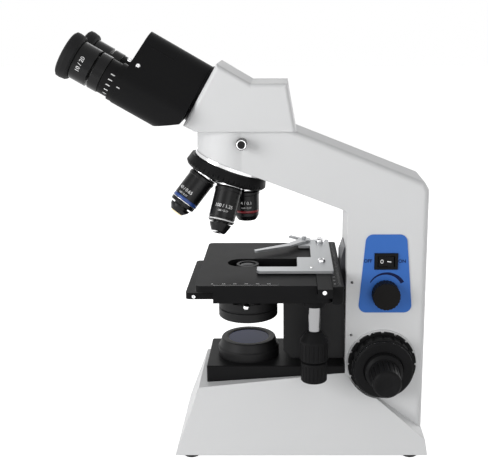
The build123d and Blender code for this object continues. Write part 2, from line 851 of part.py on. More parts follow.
with BuildPart() as led_module:
    with BuildSketch(Plane.XY.offset(foot_height + plate_thickness)):
        RectangleRounded(34, 34, 4)
    extrude(amount=6)
    with BuildSketch(Plane.XY.offset(foot_height + plate_thickness + 6)):
        Circle(12)
        with PolarLocations(12, 12):
            Rectangle(2.4, 1.4, mode=Mode.SUBTRACT)
    extrude(amount=36)
    with BuildSketch(Plane.XY.offset(foot_height + plate_thickness + 42)):
        RegularPolygon(7, 6)
    extrude(amount=2)
save(led_module, "led_module")

# Focus drive
coarse_radius_pitch = gear_module * coarse_teeth / 2
with BuildPart() as focus_bushes:
    for side in (-1, 1):
        with BuildSketch(along_x(side * 26, focus_y, focus_z)):
            Circle(11 - seat)
            Circle(focus_tube_radius + running, mode=Mode.SUBTRACT)
        extrude(amount=side * 11)
save(focus_bushes, "focus_bushes")

coarse_start = boss_face + tension_thickness + 2 * gap
coarse_end = coarse_start + coarse_width
with BuildPart() as focus_shaft:
    with BuildSketch(along_x(-coarse_end + 3, focus_y, focus_z)):
        Circle(focus_tube_radius)
    extrude(amount=2 * (coarse_end - 3))
    with BuildSketch(along_x(-6.5, focus_y, focus_z)):
        with BuildLine():
            Polyline(*gear_outline(coarse_teeth, 180), close=True)
        make_face()
    extrude(amount=13)
    with BuildSketch(along_x(-80, focus_y, focus_z)):
        Circle(fine_shaft_radius + running)
    extrude(amount=160, mode=Mode.SUBTRACT)
save(focus_shaft, "focus_shaft")

for side, sign in (("right", 1), ("left", -1)):
    with BuildPart() as coarse_knob:
        with BuildSketch(Plane(origin=(0, focus_y, focus_z), x_dir=(sign, 0, 0), z_dir=(0, -sign, 0))):
            with BuildLine():
                Polyline(
                    (coarse_start, focus_tube_radius + seat), (coarse_start, coarse_radius - 1),
                    (coarse_start + 1, coarse_radius), (coarse_end - 5.2, coarse_radius),
                    (coarse_end - 4.6, coarse_front_radius + 0.2), (coarse_end - 1, coarse_front_radius),
                    (coarse_end, coarse_front_radius - 1.4),
                    (coarse_end, fine_disc_radius + 1.2), (coarse_end - 1.2, fine_disc_radius + 0.6),
                    (coarse_end - 1.2, fine_shaft_radius + 0.6), (coarse_end - 3 + 0.1, fine_shaft_radius + 0.6),
                    (coarse_end - 3 + 0.1, focus_tube_radius + seat),
                    close=True,
                )
            make_face()
        revolve(axis=Axis((0, focus_y, focus_z), (1, 0, 0)))
        with BuildSketch(along_x(sign * (coarse_start - 1), focus_y, focus_z)):
            with PolarLocations(coarse_radius + 1.0, 20):
                Circle(2.0)
        extrude(amount=sign * (coarse_width - 4.2), mode=Mode.SUBTRACT)
    save(coarse_knob, f"coarse_knob_{side}")

fine_start = coarse_end - 1.2 + gap
fine_disc_end = fine_start + fine_disc_width
fine_end = fine_disc_end + fine_tip_width
for side, sign in (("right", 1), ("left", -1)):
    bore = fine_shaft_radius + (seat if sign < 0 else -0.1)
    with BuildPart() as fine_knob:
        with BuildSketch(Plane(origin=(0, focus_y, focus_z), x_dir=(sign, 0, 0), z_dir=(0, -sign, 0))):
            with BuildLine():
                Polyline(
                    (fine_start, bore), (fine_start, fine_disc_radius - 0.6),
                    (fine_start + 0.6, fine_disc_radius), (fine_disc_end - 2.2, fine_disc_radius),
                    (fine_disc_end, fine_disc_radius - 2.6), (fine_disc_end, fine_tip_radius + 0.4),
                    (fine_end - 1.4, fine_tip_radius), (fine_end, fine_tip_radius - 1.4),
                    (fine_end, fine_tip_radius - 2.6), (fine_end - 2.4, 5.0), (fine_end - 2.8, 0),
                    (fine_end - 7.9, 0), (fine_end - 7.9, bore), close=True,
                )
            make_face()
        revolve(axis=Axis((0, focus_y, focus_z), (1, 0, 0)))
        with BuildSketch(along_x(sign * (fine_disc_end + 1), focus_y, focus_z)):
            with PolarLocations(fine_tip_radius + 0.9, 18):
                Circle(1.3)
        extrude(amount=sign * (fine_tip_width - 3.5), mode=Mode.SUBTRACT)
        # The right knob is one piece with the shaft that both share
        if sign > 0:
            with BuildSketch(along_x(-fine_end + 8, focus_y, focus_z)):
                Circle(fine_shaft_radius)
            extrude(amount=2 * (fine_end - 8) + 0.5)
    save(fine_knob, f"fine_knob_{side}")

with BuildPart() as tension_ring:
    with BuildSketch(along_x(boss_face + gap, focus_y, focus_z)):
        Circle(tension_radius)
        Circle(11.5, mode=Mode.SUBTRACT)
        with PolarLocations(tension_radius, 16):
            Circle(1.5, mode=Mode.SUBTRACT)
    extrude(amount=tension_thickness)
    with BuildSketch(along_x(boss_face + gap, focus_y, focus_z)):
        Circle(11.5)
        Circle(focus_tube_radius + running, mode=Mode.SUBTRACT)
    extrude(amount=tension_thickness)
save(tension_ring, "tension_ring")

# Focus rack inside the column, joined to the bracket through the window
rack_line = focus_y - coarse_radius_pitch
with BuildPart() as focus_rack:
    with BuildSketch(Plane.YZ.offset(-5)):
        with BuildLine():
            outline = rack_outline(focus_z - focus_up - 8, focus_z + focus_down + 9, focus_z, rack_line, rack_line - 8)
            Polyline(*[(second, first) for first, second in outline], close=True)
        make_face()
    extrude(amount=10)
    with BuildSketch(Plane.XY.offset(bracket_low)):
        with Locations((0, (column_front + rack_line - 8) / 2)):
            Rectangle(2 * (window_half_width - 1.5), rack_line - 8 - column_front + 0.4)
    extrude(amount=8.2)
save(focus_rack, "focus_rack")

# Stage bracket: slides on the guide and carries the stage
condenser_pitch = gear_module * condenser_teeth / 2
carrier_line = condenser_knob_y - condenser_pitch
with BuildPart() as stage_bracket:
    with BuildSketch(Plane.YZ):
        with BuildLine():
            Polyline(
                (bracket_front, bracket_low + 8), (bracket_front + 8, bracket_low),
                (column_front - gap, bracket_low), (column_front - gap, lower_bottom - seat),
                (bracket_front - 7, lower_bottom - seat), (bracket_front - 7, lower_bottom - 5),
                (bracket_front, lower_bottom - 12), close=True,
            )
        make_face()
    extrude(amount=bracket_half_width, both=True)
    fillet(stage_bracket.edges().filter_by(Axis.Z).group_by(Axis.Y)[0], 2.5)
    # Dovetail groove
    with BuildSketch(Plane.XY.offset(bracket_low - 1)):
        with BuildLine():
            half = rail_half_width + gap
            Polyline(
                (-half + 2.6, column_front), (half - 2.6, column_front),
                (half, column_front - rail_thickness - gap), (-half, column_front - rail_thickness - gap),
                close=True,
            )
        make_face()
    extrude(amount=lower_bottom, mode=Mode.SUBTRACT)
    # Channel of the condenser carrier and room for its drive
    with BuildSketch(Plane.XY.offset(bracket_low - 1)):
        with Locations((0, (bracket_front - 10 + 42.6) / 2)):
            Rectangle(2 * (carrier_half_width + gap), 42.6 - bracket_front + 10)
        with Locations((0, 42)):
            Rectangle(2 * (4 + gap), 2 * (carrier_line + 1 - 42))
    extrude(amount=lower_bottom, mode=Mode.SUBTRACT)
    with BuildSketch(along_x(-5, condenser_knob_y, condenser_knob_z)):
        Circle(condenser_pitch + 1.6)
    extrude(amount=10, mode=Mode.SUBTRACT)
    with BuildSketch(along_x(-40, condenser_knob_y, condenser_knob_z)):
        Circle(3 + running)
    extrude(amount=50, mode=Mode.SUBTRACT)
save(stage_bracket, "stage_bracket")

# Lower stage plate, fixed on the bracket, with the rack for the front-to-back drive
y_pitch_radius = gear_module * y_teeth / 2
y_rack_line = drive_x - y_pitch_radius
with BuildPart() as stage_lower_plate:
    with BuildSketch(Plane.XY.offset(lower_bottom)):
        with Locations((0, (lower_front + lower_rear) / 2)):
            RectangleRounded(2 * lower_half_width, lower_rear - lower_front, 4)
        with Locations((0, 0)):
            Circle(21, mode=Mode.SUBTRACT)
        # Clearance for the rack and pinion at the right edge
        with Locations((lower_half_width - 1, 38)):
            Rectangle(8, 74, mode=Mode.SUBTRACT)
    extrude(amount=lower_thickness)
    with BuildSketch(Plane.XY.offset(lower_bottom + 0.4)):
        with BuildLine():
            outline = rack_outline(2, 74, drive_y, y_rack_line, lower_half_width - 5.5)
            Polyline(*[(second, first) for first, second in outline], close=True)
        make_face()
    extrude(amount=lower_thickness - 0.8)
save(stage_lower_plate, "stage_lower_plate")

# Upper stage plate: slides front to back and carries the cross drive
x_pitch_radius = gear_module * x_teeth / 2
x_rack_line = drive_y + x_pitch_radius
boss_low = 149.0
bar_low = upper_top + 1 - bar_height
gear_face = 4.0
with BuildPart() as stage_upper_plate:
    with BuildSketch(Plane.XY.offset(upper_bottom)):
        with Locations((0, (upper_front + bar_rear + gap) / 2)):
            RectangleRounded(2 * upper_half_width, bar_rear + gap - upper_front, stage_corner)
    extrude(amount=upper_top - upper_bottom)
    # Boss around the drive shaft
    with BuildSketch(Plane.XY.offset(boss_low)):
        with Locations((drive_x, drive_y)):
            Circle(10)
    extrude(amount=upper_bottom - boss_low)
    # Channel over the lower plate, wider on the side of the rack
    with BuildSketch(Plane.XY.offset(lower_bottom - gap)):
        with Locations(((y_rack_line + 1 - lower_half_width - gap) / 2, 15)):
            Rectangle(y_rack_line + 1 + lower_half_width + gap, 200)
    extrude(amount=lower_thickness + 2 * gap, mode=Mode.SUBTRACT)
    # Underside cut back at the front, as on a plate with side rails only
    with BuildSketch(Plane.YZ.offset(-upper_half_width - 1)):
        with BuildLine():
            Polyline(
                (upper_front - 1, upper_bottom - 1), (upper_front + 15.6, upper_bottom - 1),
                (upper_front + 15.6, upper_top - 6), (upper_front - 1, upper_top - 6), close=True,
            )
        make_face()
    extrude(amount=2 * upper_half_width + 2, mode=Mode.SUBTRACT)
    with BuildSketch(Plane.XY.offset(upper_bottom - 1)):
        with Locations((0, (stage_slot_front + stage_slot_rear) / 2)):
            SlotOverall(stage_slot_rear - stage_slot_front, 2 * stage_slot_half, rotation=90)
    extrude(amount=30, mode=Mode.SUBTRACT)
    # Groove for the cross slide
    with BuildSketch(Plane.XY.offset(bar_low - gap)):
        with Locations((0, (bar_front + bar_rear) / 2)):
            Rectangle(200, bar_rear - bar_front + 2 * gap)
    extrude(amount=bar_height + 5, mode=Mode.SUBTRACT)
    # Pockets for the two pinions
    with BuildSketch(Plane.XY.offset(lower_bottom - gap)):
        with Locations((drive_x, drive_y)):
            Circle(y_pitch_radius + 1.4)
        with Locations((drive_x - 6, drive_y)):
            Rectangle(12, 2 * (y_pitch_radius + 1.4))
    extrude(amount=lower_thickness + 2 * gap, mode=Mode.SUBTRACT)
    with BuildSketch(Plane.XY.offset(bar_low - gap)):
        with Locations((drive_x, drive_y)):
            Circle(x_pitch_radius + 1.4)
    extrude(amount=gear_face + 2 * gap, mode=Mode.SUBTRACT)
    with BuildSketch(Plane.XY.offset(boss_low - 1)):
        with Locations((drive_x, drive_y)):
            Circle(3 + running)
    extrude(amount=18, mode=Mode.SUBTRACT)
    with BuildSketch(Plane.XY.offset(boss_low - 1)):
        with Locations((drive_x, drive_y)):
            Circle(4.2 + running)
    extrude(amount=5, mode=Mode.SUBTRACT)
save(stage_upper_plate, "stage_upper_plate")

with BuildPart() as x_rail:
    with BuildSketch(Plane.XY.offset(upper_bottom)):
        x_rail_front = bar_rear + gap + seat
        with Locations(((x_rail_right - upper_half_width) / 2, (x_rail_front + x_rail_rear) / 2)):
            Rectangle(x_rail_right + upper_half_width, x_rail_rear - x_rail_front)
    extrude(amount=upper_top + 1 - upper_bottom)
    fillet(x_rail.edges().filter_by(Axis.X).group_by(Axis.Z)[0].sort_by(Axis.Y)[-1], 5)
    fillet(x_rail.edges().filter_by(Axis.Z).group_by(Axis.Y)[-1], 3)
    # Way over the lower plate when the stage comes forward
    with BuildSketch(Plane.XY.offset(lower_bottom)):
        with Locations(((y_rack_line + 1 - lower_half_width - gap) / 2, (x_rail_front + x_rail_rear) / 2)):
            Rectangle(y_rack_line + 1 + lower_half_width + gap, 2 * (x_rail_rear - x_rail_front))
    extrude(amount=lower_thickness + gap, mode=Mode.SUBTRACT)
save(x_rail, "x_rail")

with BuildPart() as drive_sleeve:
    with BuildSketch(Plane.XY.offset(boss_low - seat)):
        with Locations((drive_x, drive_y)):
            Circle(drive_sleeve_radius)
            Circle(4.2 + running, mode=Mode.SUBTRACT)
    extrude(amount=sleeve_low + 0.6 - boss_low)
save(drive_sleeve, "drive_sleeve")

with BuildPart() as y_knob:
    with BuildSketch(Plane.XZ.offset(-drive_y)):
        with BuildLine():
            Polyline(
                (drive_x + 3 + running, y_knob_low), (drive_x + y_knob_radius - 0.5, y_knob_low),
                (drive_x + y_knob_radius, y_knob_low + 0.5), (drive_x + y_knob_radius, sleeve_low - 8.4),
                (drive_x + 9.0, sleeve_low - 3.2), (drive_x + 6.4, sleeve_low),
                (drive_x + 4.2, sleeve_low), (drive_x + 4.2, lower_bottom + 1),
                (drive_x + 3 + running, lower_bottom + 1), close=True,
            )
        make_face()
    revolve(axis=Axis((drive_x, drive_y, 0), (0, 0, 1)))
    with BuildSketch(Plane.XY.offset(y_knob_low - 1)):
        with Locations((drive_x, drive_y)):
            with PolarLocations(y_knob_radius + 0.5, 20):
                Circle(1.1)
    extrude(amount=sleeve_low - 9.4 - y_knob_low, mode=Mode.SUBTRACT)
    with BuildSketch(Plane((drive_x, drive_y, lower_bottom + 0.2))):
        with BuildLine():
            Polyline(*gear_outline(y_teeth, 180), close=True)
        make_face()
        Circle(3 + running, mode=Mode.SUBTRACT)
    extrude(amount=lower_thickness - 0.4)
save(y_knob, "y_knob")

with BuildPart() as x_knob:
    with BuildSketch(Plane.XZ.offset(-drive_y)):
        x_top = y_knob_low - 0.8 - gap
        with BuildLine():
            Polyline(
                (drive_x, x_knob_low), (drive_x + x_knob_radius - 0.6, x_knob_low),
                (drive_x + x_knob_radius, x_knob_low + 0.6), (drive_x + x_knob_radius, x_top - 1.2),
                (drive_x + x_knob_radius - 2.4, x_top), (drive_x + 3, x_top),
                (drive_x + 3, bar_low + gear_face), (drive_x, bar_low + gear_face), close=True,
            )
        make_face()
    revolve(axis=Axis((drive_x, drive_y, 0), (0, 0, 1)))
    with BuildSketch(Plane.XY.offset(x_knob_low - 1)):
        with Locations((drive_x, drive_y)):
            with PolarLocations(x_knob_radius + 0.5, 20):
                Circle(1.1)
    extrude(amount=x_top - 2 - x_knob_low, mode=Mode.SUBTRACT)
    with BuildSketch(Plane((drive_x, drive_y, bar_low))):
        with BuildLine():
            Polyline(*gear_outline(x_teeth, 90), close=True)
        make_face()
    extrude(amount=gear_face)
save(x_knob, "x_knob")

# Cross slide: bar with the rack on its front edge
with BuildPart() as x_slide_bar:
    with BuildSketch(Plane.XY.offset(bar_low)):
        with BuildLine():
            outline = rack_outline(0, bar_right - 1, drive_x, -x_rack_line, -bar_rear)
            Polyline(*[(first, -second) for first, second in outline], close=True)
        make_face()
        with Locations((bar_left / 2, (bar_rear + x_rack_line + 0.8) / 2)):
            Rectangle(-bar_left, bar_rear - x_rack_line - 0.8)
    extrude(amount=4.6)
    with BuildSketch(Plane.XY.offset(bar_low + 4.6)):
        with Locations(((bar_left + bar_right) / 2, (bar_front + bar_rear) / 2)):
            Rectangle(bar_right - bar_left, bar_rear - bar_front)
    extrude(amount=bar_height - 4.6)
    with BuildSketch(Plane.XY.offset(bar_low)):
        with Locations((bar_right - 0.5, (bar_front + bar_rear) / 2)):
            Rectangle(1, bar_rear - bar_front)
    extrude(amount=bar_height)
save(x_slide_bar, "x_slide_bar")

holder_low = upper_top + 1 + seat
with BuildPart() as slide_holder:
    with BuildSketch(Plane.XY.offset(holder_low)):
        with BuildLine():
            Polyline(
                (holder_left, 59), (holder_left, holder_rear), (holder_right, holder_rear),
                (holder_right, 12), (holder_right - 3, 10), (holder_right - 14, 10), (holder_right - 14, 46),
                (holder_right - 16, holder_front), (-6, holder_front), (-6, 60.5), (-48, 60.5),
                (-48, holder_front + 2), (-60, holder_front + 2), (-60, 59), close=True,
            )
        make_face()
        with Locations((-61, 71), (9, 70)):
            Circle(1.6, mode=Mode.SUBTRACT)
    extrude(amount=holder_thickness)
    fillet(slide_holder.edges().filter_by(Axis.Z).group_by(Axis.Y)[-1], 2)
    with BuildSketch(Plane.XY.offset(holder_low)):
        with Locations((finger_x, finger_y)):
            Circle(5.2)
    extrude(amount=holder_thickness)
    with BuildSketch(Plane.XY.offset(holder_low)):
        with Locations((finger_x, finger_y)):
            Circle(2.2)
    extrude(amount=holder_thickness + 5)
save(slide_holder, "slide_holder")

finger_low = holder_low + holder_thickness + gap
with BuildPart() as slide_finger:
    with BuildSketch(Plane.XY.offset(finger_low)):
        with BuildLine():
            l1 = Line((finger_x + 5.6, finger_y + 3), (-40, 41))
            l2 = Line((-40, 41), (-21, 9))
            l3 = ThreePointArc((-21, 9), (-22.0, 5.8), (-25, 6))
            l4 = Line((-25, 6), (-46, 36))
            l5 = Line((-46, 36), (finger_x + 2, finger_y - 6))
            l6 = Line((finger_x + 2, finger_y - 6), (finger_x + 5.6, finger_y + 3))
        make_face()
        with Locations((finger_x, finger_y)):
            Circle(6.6)
        with Locations((finger_x - 9, finger_y - 9)):
            Rectangle(15, 3.6, rotation=45)
        with Locations((finger_x, finger_y)):
            Circle(2.2 + running, mode=Mode.SUBTRACT)
    extrude(amount=2.2)
save(slide_finger, "slide_finger")

# Condenser carrier, its rack, and the knob that raises it
with BuildPart() as condenser_carrier:
    with BuildSketch(Plane.XY.offset(carrier_low)):
        with Locations((0, (carrier_plate_front + 41.6) / 2)):
            Rectangle(2 * carrier_half_width, 41.6 - carrier_plate_front)
    extrude(amount=151 - carrier_low)
    with BuildSketch(Plane.YZ.offset(-4)):
        with BuildLine():
            outline = rack_outline(carrier_low, 150, condenser_knob_z, carrier_line, 41)
            Polyline(*[(second, first) for first, second in outline], close=True)
        make_face()
    extrude(amount=8)
    with BuildSketch(Plane.XY.offset(condenser_top + 1.5)):
        Circle(25)
        with Locations((0, 27)):
            Rectangle(2 * carrier_half_width, 22)
        Circle(condenser_sleeve + seat, mode=Mode.SUBTRACT)
    extrude(amount=8.5)
    # Boss of the clamp screw, at the front right
    with BuildSketch(Plane.XY.offset(condenser_top + 1.5)):
        with Locations((0, -27)):
            Rectangle(12, 8)
        Circle(condenser_sleeve + seat, mode=Mode.SUBTRACT)
    extrude(amount=8.5)
    with BuildSketch(Plane.XZ.offset(15)):
        with Locations((0, condenser_top + 5.75)):
            Circle(1.5 + running)
    extrude(amount=20, mode=Mode.SUBTRACT)
save(condenser_carrier, "condenser_carrier")

with BuildPart() as condenser_body:
    with BuildSketch(Plane.XZ):
        with BuildLine():
            Polyline(
                (22, condenser_bottom), (condenser_radius - 0.8, condenser_bottom),
                (condenser_radius, condenser_bottom + 0.8), (condenser_radius, condenser_step - 1.2),
                (condenser_radius - 1.0, condenser_step - 0.6), (condenser_radius - 1.0, condenser_step),
                (condenser_radius, condenser_step + 0.6), (condenser_radius, condenser_top - 0.8),
                (condenser_radius - 0.8, condenser_top), (condenser_sleeve, condenser_top),
                (condenser_sleeve, 152.5), (condenser_tip_radius, 157.5), (condenser_tip_radius - 1.5, condenser_tip),
                (8.05, condenser_tip), (8.05, condenser_tip - 4), (7, condenser_tip - 4),
                (7, condenser_step + 6), (22, condenser_step), close=True,
            )
        make_face()
    revolve(axis=Axis.Z)
    # Slot of the iris lever, at the right
    with BuildSketch(Plane.XY.offset(condenser_top - 3.6)):
        with BuildLine():
            arc = radians(28)
            Polyline(
                (18, -18 * tan(arc)), (40, -40 * tan(arc)), (40, 40 * tan(arc)), (18, 18 * tan(arc)), close=True,
            )
        make_face()
    extrude(amount=2.2, mode=Mode.SUBTRACT)
    with BuildSketch(Plane.XY.offset(condenser_top - 3.6)):
        Circle(21)
        Circle(16.9, mode=Mode.SUBTRACT)
    extrude(amount=2.2, mode=Mode.SUBTRACT)
save(condenser_body, "condenser_body")

with BuildPart() as condenser_lens:
    with BuildSketch(Plane.XY.offset(condenser_tip - 4 + seat)):
        Circle(8)
    extrude(amount=4)
    with Locations((0, 0, condenser_tip - 0.1 - dome)):
        Sphere(dome, mode=Mode.INTERSECT)
save(condenser_lens, "condenser_lens")

with BuildPart() as iris_lever:
    with BuildSketch(Plane.XY.offset(condenser_top - 3.3)):
        Circle(20.6)
        Circle(17.3, mode=Mode.SUBTRACT)
        with Locations((26, 0)):
            Rectangle(14, 2.4)
    extrude(amount=1.6)
    with Locations((35.5, 0, condenser_top - 2.5)):
        Sphere(3.1)
save(iris_lever, "iris_lever")

with BuildPart() as condenser_clamp:
    with BuildSketch(Plane.XZ.offset(condenser_sleeve + 0.3)):
        with Locations((0, condenser_top + 5.75)):
            Circle(1.5)
    extrude(amount=14)
    with BuildSketch(Plane.XZ.offset(31.6)):
        with Locations((0, condenser_top + 5.75)):
            Circle(4)
            with PolarLocations(4.2, 12):
                Circle(0.6, mode=Mode.SUBTRACT)
    extrude(amount=6)
save(condenser_clamp, "condenser_clamp")

with BuildPart() as condenser_knob:
    with BuildSketch(along_x(-4, condenser_knob_y, condenser_knob_z)):
        with BuildLine():
            Polyline(*gear_outline(condenser_teeth, 180), close=True)
        make_face()
    extrude(amount=8)
    with BuildSketch(along_x(4, condenser_knob_y, condenser_knob_z)):
        Circle(3)
    extrude(amount=-38)
    with BuildSketch(along_x(-bracket_half_width - 1, condenser_knob_y, condenser_knob_z)):
        Circle(condenser_knob_radius)
        with PolarLocations(condenser_knob_radius + 0.5, 20):
            Circle(1.1, mode=Mode.SUBTRACT)
    extrude(amount=-14)
save(condenser_knob, "condenser_knob")

# Control panel, switch and dimmer on the leaning right side of the arm
side_rad = radians(arm_taper)
SIDE = Plane(
    origin=(arm_side(panel_z), panel_y, panel_z),
    x_dir=(0, 1, 0),
    z_dir=(cos(side_rad), 0, sin(side_rad)),
)
panel_thickness = 0.8
with BuildPart() as control_panel:
    with BuildSketch(SIDE.offset(seat)):
        with BuildLine():
            Polyline((-25, -37), (25, -37), (18.4, 37), (-18.4, 37), close=True)
        make_face()
        fillet(vertices(), 7)
        with Locations((0, switch_z)):
            Rectangle(19, 13, mode=Mode.SUBTRACT)
        with Locations((0, dimmer_z)):
            Circle(3.6, mode=Mode.SUBTRACT)
    extrude(amount=panel_thickness)
save(control_panel, "control_panel")

panel_face = seat + panel_thickness
rocker_pivot = Plane(
    origin=SIDE.from_local_coords((0, switch_z, panel_face - 1)), x_dir=SIDE.x_dir, z_dir=SIDE.y_dir)
rocker_pin_radius = 1.2
rocker_pin_reach = 5.8
rocker_high = 6.15              # the raised end stays inside the frame as it swings
with BuildPart() as switch_body:
    with BuildSketch(SIDE.offset(panel_face + seat)):
        with Locations((0, switch_z)):
            Rectangle(switch_width, switch_height)
            Rectangle(15.6, 10.6, mode=Mode.SUBTRACT)
    extrude(amount=1.8)
    chamfer(switch_body.faces().sort_by(Axis.X)[-1].outer_wire().edges(), 0.8)
    with BuildSketch(SIDE.offset(panel_face + seat)):
        with Locations((0, switch_z)):
            Rectangle(18.4, 12.4)
            Rectangle(15.6, 10.6, mode=Mode.SUBTRACT)
    extrude(amount=-13)
    with BuildSketch(SIDE.offset(panel_face - 10)):
        with Locations((0, switch_z)):
            Rectangle(18.4, 12.4)
    extrude(amount=-3)
    with BuildSketch(rocker_pivot.offset(-rocker_pin_reach - seat)):
        Circle(rocker_pin_radius + running)
    extrude(amount=2 * (rocker_pin_reach + seat), mode=Mode.SUBTRACT)
save(switch_body, "switch_body")

with BuildPart() as rocker:
    with BuildSketch(rocker_pivot.offset(-4.95)):
        with BuildLine():
            Polyline(
                (-7.1, -2.4), (0, -1.4), (rocker_high, -4.6), (7.1, -3.0), (2, 2), (-2, 2), (-7.1, -1.0),
                close=True,
            )
        make_face()
    extrude(amount=9.9)
    with BuildSketch(rocker_pivot.offset(-rocker_pin_reach)):
        Circle(rocker_pin_radius)
    extrude(amount=2 * rocker_pin_reach)
save(rocker, "rocker")

with BuildPart() as dimmer_knob:
    with BuildSketch(SIDE.offset(panel_face + 0.6)):
        with Locations((0, dimmer_z)):
            Circle(dimmer_radius)
            with PolarLocations(dimmer_radius + 0.45, 24):
                Circle(0.9, mode=Mode.SUBTRACT)
    extrude(amount=12)
    chamfer(dimmer_knob.faces().sort_by(Axis.X)[-1].edges(), 0.5)
    with BuildSketch(SIDE.offset(panel_face + 0.6)):
        with Locations((0, dimmer_z)):
            Circle(3)
    extrude(amount=-14)
save(dimmer_knob, "dimmer_knob")

with BuildPart() as power_inlet:
    with BuildSketch(Plane.XZ.offset(-column_rear - seat)):
        with Locations((0, 52)):
            Rectangle(31, 24)
            RectangleRounded(23.6, 16, 3, mode=Mode.SUBTRACT)
    extrude(amount=-2.0)
    with BuildSketch(Plane.XZ.offset(-column_rear + 14)):
        with Locations((0, 52)):
            Rectangle(26.4, 19.4)
    extrude(amount=-14 - 0.5)
    with BuildSketch(Plane.XZ.offset(-column_rear - 2.1)):
        with Locations((0, 52)):
            RectangleRounded(23.6, 16, 3)
    extrude(amount=14, mode=Mode.SUBTRACT)
    with BuildSketch(Plane.XZ.offset(-column_rear + 12)):
        with Locations((0, 54), (-7, 50), (7, 50)):
            Rectangle(2, 6)
    extrude(amount=-8)
save(power_inlet, "power_inlet")
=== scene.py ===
from math import cos, pi, radians, sin, tan

import bpy
from mathutils import Matrix, Vector


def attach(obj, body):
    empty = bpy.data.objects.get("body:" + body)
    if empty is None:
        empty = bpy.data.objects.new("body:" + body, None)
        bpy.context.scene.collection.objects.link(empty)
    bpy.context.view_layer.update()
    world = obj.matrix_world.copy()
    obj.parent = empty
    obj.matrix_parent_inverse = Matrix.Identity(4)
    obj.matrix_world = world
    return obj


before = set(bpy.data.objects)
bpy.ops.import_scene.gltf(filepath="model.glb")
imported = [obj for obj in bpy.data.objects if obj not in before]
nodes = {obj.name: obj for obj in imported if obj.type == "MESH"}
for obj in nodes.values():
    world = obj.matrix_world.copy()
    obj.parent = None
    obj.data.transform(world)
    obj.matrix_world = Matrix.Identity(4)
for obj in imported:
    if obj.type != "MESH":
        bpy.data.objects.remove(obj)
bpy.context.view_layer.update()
MM = 0.001


# Materials: every one has its grain, its unevenness and softened edges

def surface(name, colour, rough, metal=0.0, spread=0.08, blotch=22.0, grain=700.0, depth=0.05,
            rough_spread=0.06, edge=0.35, edge_wear_and_highlight=0.0, edge_wear_and_highlight_colour=(0.35, 0.35, 0.36), stretch=(1, 1, 1),
            coat=0.0, ior=1.5, speck=0.0, shine=0.5):
    """A material; depth is the height of its grain and edge the radius of its edges, in millimetres.

    spread and rough_spread say how much tone and gloss vary over the blotches, the edge wear amount and
    colour how pale the edges are painted, partly rubbed wear and partly a painted highlight, and speck how
    much pale dust lies on it.
    """
    material = bpy.data.materials.new(name)
    material.use_nodes = True
    tree = material.node_tree
    link = tree.links.new
    shader = tree.nodes["Principled BSDF"]
    shader.inputs["Metallic"].default_value = metal
    shader.inputs["IOR"].default_value = ior
    shader.inputs["Specular IOR Level"].default_value = shine
    if coat:
        shader.inputs["Coat Weight"].default_value = coat
        shader.inputs["Coat Roughness"].default_value = 0.12

    def node(kind, **sockets):
        new = tree.nodes.new(kind)
        for key, value in sockets.items():
            new.inputs[key.replace("_", " ")].default_value = value
        return new

    def mixed(factor, low, high):
        """Mix of two colours; low is a colour or the output that gives it."""
        mix = node("ShaderNodeMix")
        mix.data_type = "RGBA"
        factor_in, low_in, high_in = mix.inputs[0], mix.inputs[6], mix.inputs[7]
        link(factor, factor_in)
        if isinstance(low, bpy.types.NodeSocket):
            link(low, low_in)
        else:
            low_in.default_value = low
        high_in.default_value = high
        return mix.outputs[2]

    place = node("ShaderNodeTexCoord")
    mapping = node("ShaderNodeMapping", Scale=stretch)
    link(place.outputs["Object"], mapping.inputs["Vector"])
    big = node("ShaderNodeTexNoise", Scale=blotch, Detail=5.0, Roughness=0.6)
    small = node("ShaderNodeTexNoise", Scale=grain, Detail=3.0, Roughness=0.6)
    for noise in (big, small):
        link(mapping.outputs["Vector"], noise.inputs["Vector"])

    darker = [c * (1 - spread) for c in colour] + [1]
    lighter = [min(1.0, c * (1 + spread)) for c in colour] + [1]
    tone = mixed(big.outputs["Fac"], darker, lighter)

    soft = node("ShaderNodeBevel", Radius=edge * MM)
    soft.samples = 4
    # Paler colour painted along the edges: partly rubbed wear, partly a painted highlight on them.
    if edge_wear_and_highlight:
        geometry = node("ShaderNodeNewGeometry")
        facing = node("ShaderNodeVectorMath")
        facing.operation = "DOT_PRODUCT"
        link(soft.outputs["Normal"], facing.inputs[0])
        link(geometry.outputs["Normal"], facing.inputs[1])
        wear_and_highlight_edges = node("ShaderNodeMapRange", From_Min=0.995, From_Max=0.80, To_Max=edge_wear_and_highlight)
        link(facing.outputs["Value"], wear_and_highlight_edges.inputs["Value"])
        broken = node("ShaderNodeMath")
        broken.operation = "MULTIPLY"
        link(wear_and_highlight_edges.outputs["Result"], broken.inputs[0])
        link(small.outputs["Fac"], broken.inputs[1])
        tone = mixed(broken.outputs["Value"], tone, list(edge_wear_and_highlight_colour) + [1])
    if speck:
        dots = node("ShaderNodeTexVoronoi", Scale=grain * 0.5)
        link(mapping.outputs["Vector"], dots.inputs["Vector"])
        few = node("ShaderNodeMapRange", From_Min=0.12, From_Max=0.0, To_Max=speck)
        link(dots.outputs["Distance"], few.inputs["Value"])
        tone = mixed(few.outputs["Result"], tone, (0.6, 0.6, 0.6, 1))
    link(tone, shader.inputs["Base Color"])

    gloss = node("ShaderNodeMapRange",
                 To_Min=max(0.02, rough - rough_spread), To_Max=min(1.0, rough + rough_spread))
    link(big.outputs["Fac"], gloss.inputs["Value"])
    link(gloss.outputs["Result"], shader.inputs["Roughness"])

    bump = node("ShaderNodeBump", Strength=1.0, Distance=depth * MM)
    link(small.outputs["Fac"], bump.inputs["Height"])
    link(soft.outputs["Normal"], bump.inputs["Normal"])
    link(bump.outputs["Normal"], shader.inputs["Normal"])
    return material


